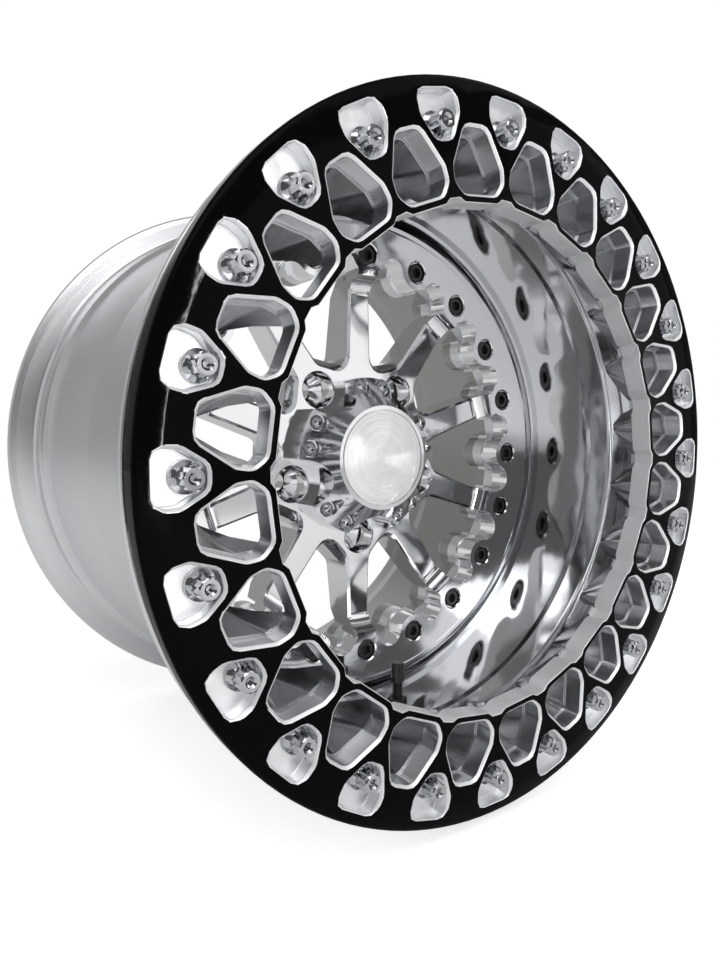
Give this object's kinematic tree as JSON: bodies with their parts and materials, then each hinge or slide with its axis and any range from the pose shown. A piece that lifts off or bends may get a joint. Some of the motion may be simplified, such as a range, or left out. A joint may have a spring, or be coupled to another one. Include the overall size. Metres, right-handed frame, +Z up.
{
  "type": "beadlock wheel",
  "caption": "Off-road beadlock wheel: bolted ring with windows and notched bore over a flared two-piece barrel, a spoked centre bolted inside it, and a bare raised centre cap.",
  "frame": {"origin": "on the wheel's axis, in the plane of the hub face at the back of the centre", "axes": "the wheel's axis lies along Y with the outboard face towards -Y, +Z is up with the valve at the bottom, +X is to the right seen from the front"},
  "size_m": [0.5012, 0.3767, 0.501],
  "materials": {
    "black_gloss": "gloss black coat with bright machined bevels",
    "bright_bolts": "polished",
    "steel": "satin",
    "turned_aluminium": "fine lathe-turned, semi-polished",
    "polished_aluminium": "mirror polished",
    "cap_aluminium": "polished",
    "brushed_disc": "brushed in rings",
    "black_steel": "satin black oxide",
    "black_aluminium": "satin black anodised",
    "rubber": "matt",
    "brass": "plain"
  },
  "bodies": {
    "wheel": {"beadlock_ring": "black_gloss", "beadlock_bolts": "bright_bolts", "beadlock_washers": "steel", "beadlock_inserts": "steel", "outer_barrel": "turned_aluminium", "inner_barrel": "turned_aluminium", "barrel_seal": "rubber", "wheel_centre": "polished_aluminium", "assembly_bolts": "black_steel", "assembly_washers": "steel", "assembly_nuts": "steel", "centre_cap": "cap_aluminium", "cap_disc": "brushed_disc", "cap_screws": "bright_bolts", "valve_stem": "black_aluminium", "valve_grommet": "rubber", "valve_washer": "steel", "valve_nut": "black_aluminium", "valve_core": "brass"},
    "valve_pin": {"valve_pin": "brass"},
    "valve_cap": {"valve_cap": "black_aluminium"}
  },
  "joints": [
    {"name": "valve_cap_lift", "type": "slide", "parent": "wheel", "child": "valve_cap", "axis": [0, 0, 1], "range_m": [0, 0.02]},
    {"name": "valve_pin_press", "type": "slide", "parent": "wheel", "child": "valve_pin", "axis": [0, 0, -1], "range_m": [0, 0.0015], "stiffness_N_per_m": 400, "springref_m": -0.001}
  ]
}
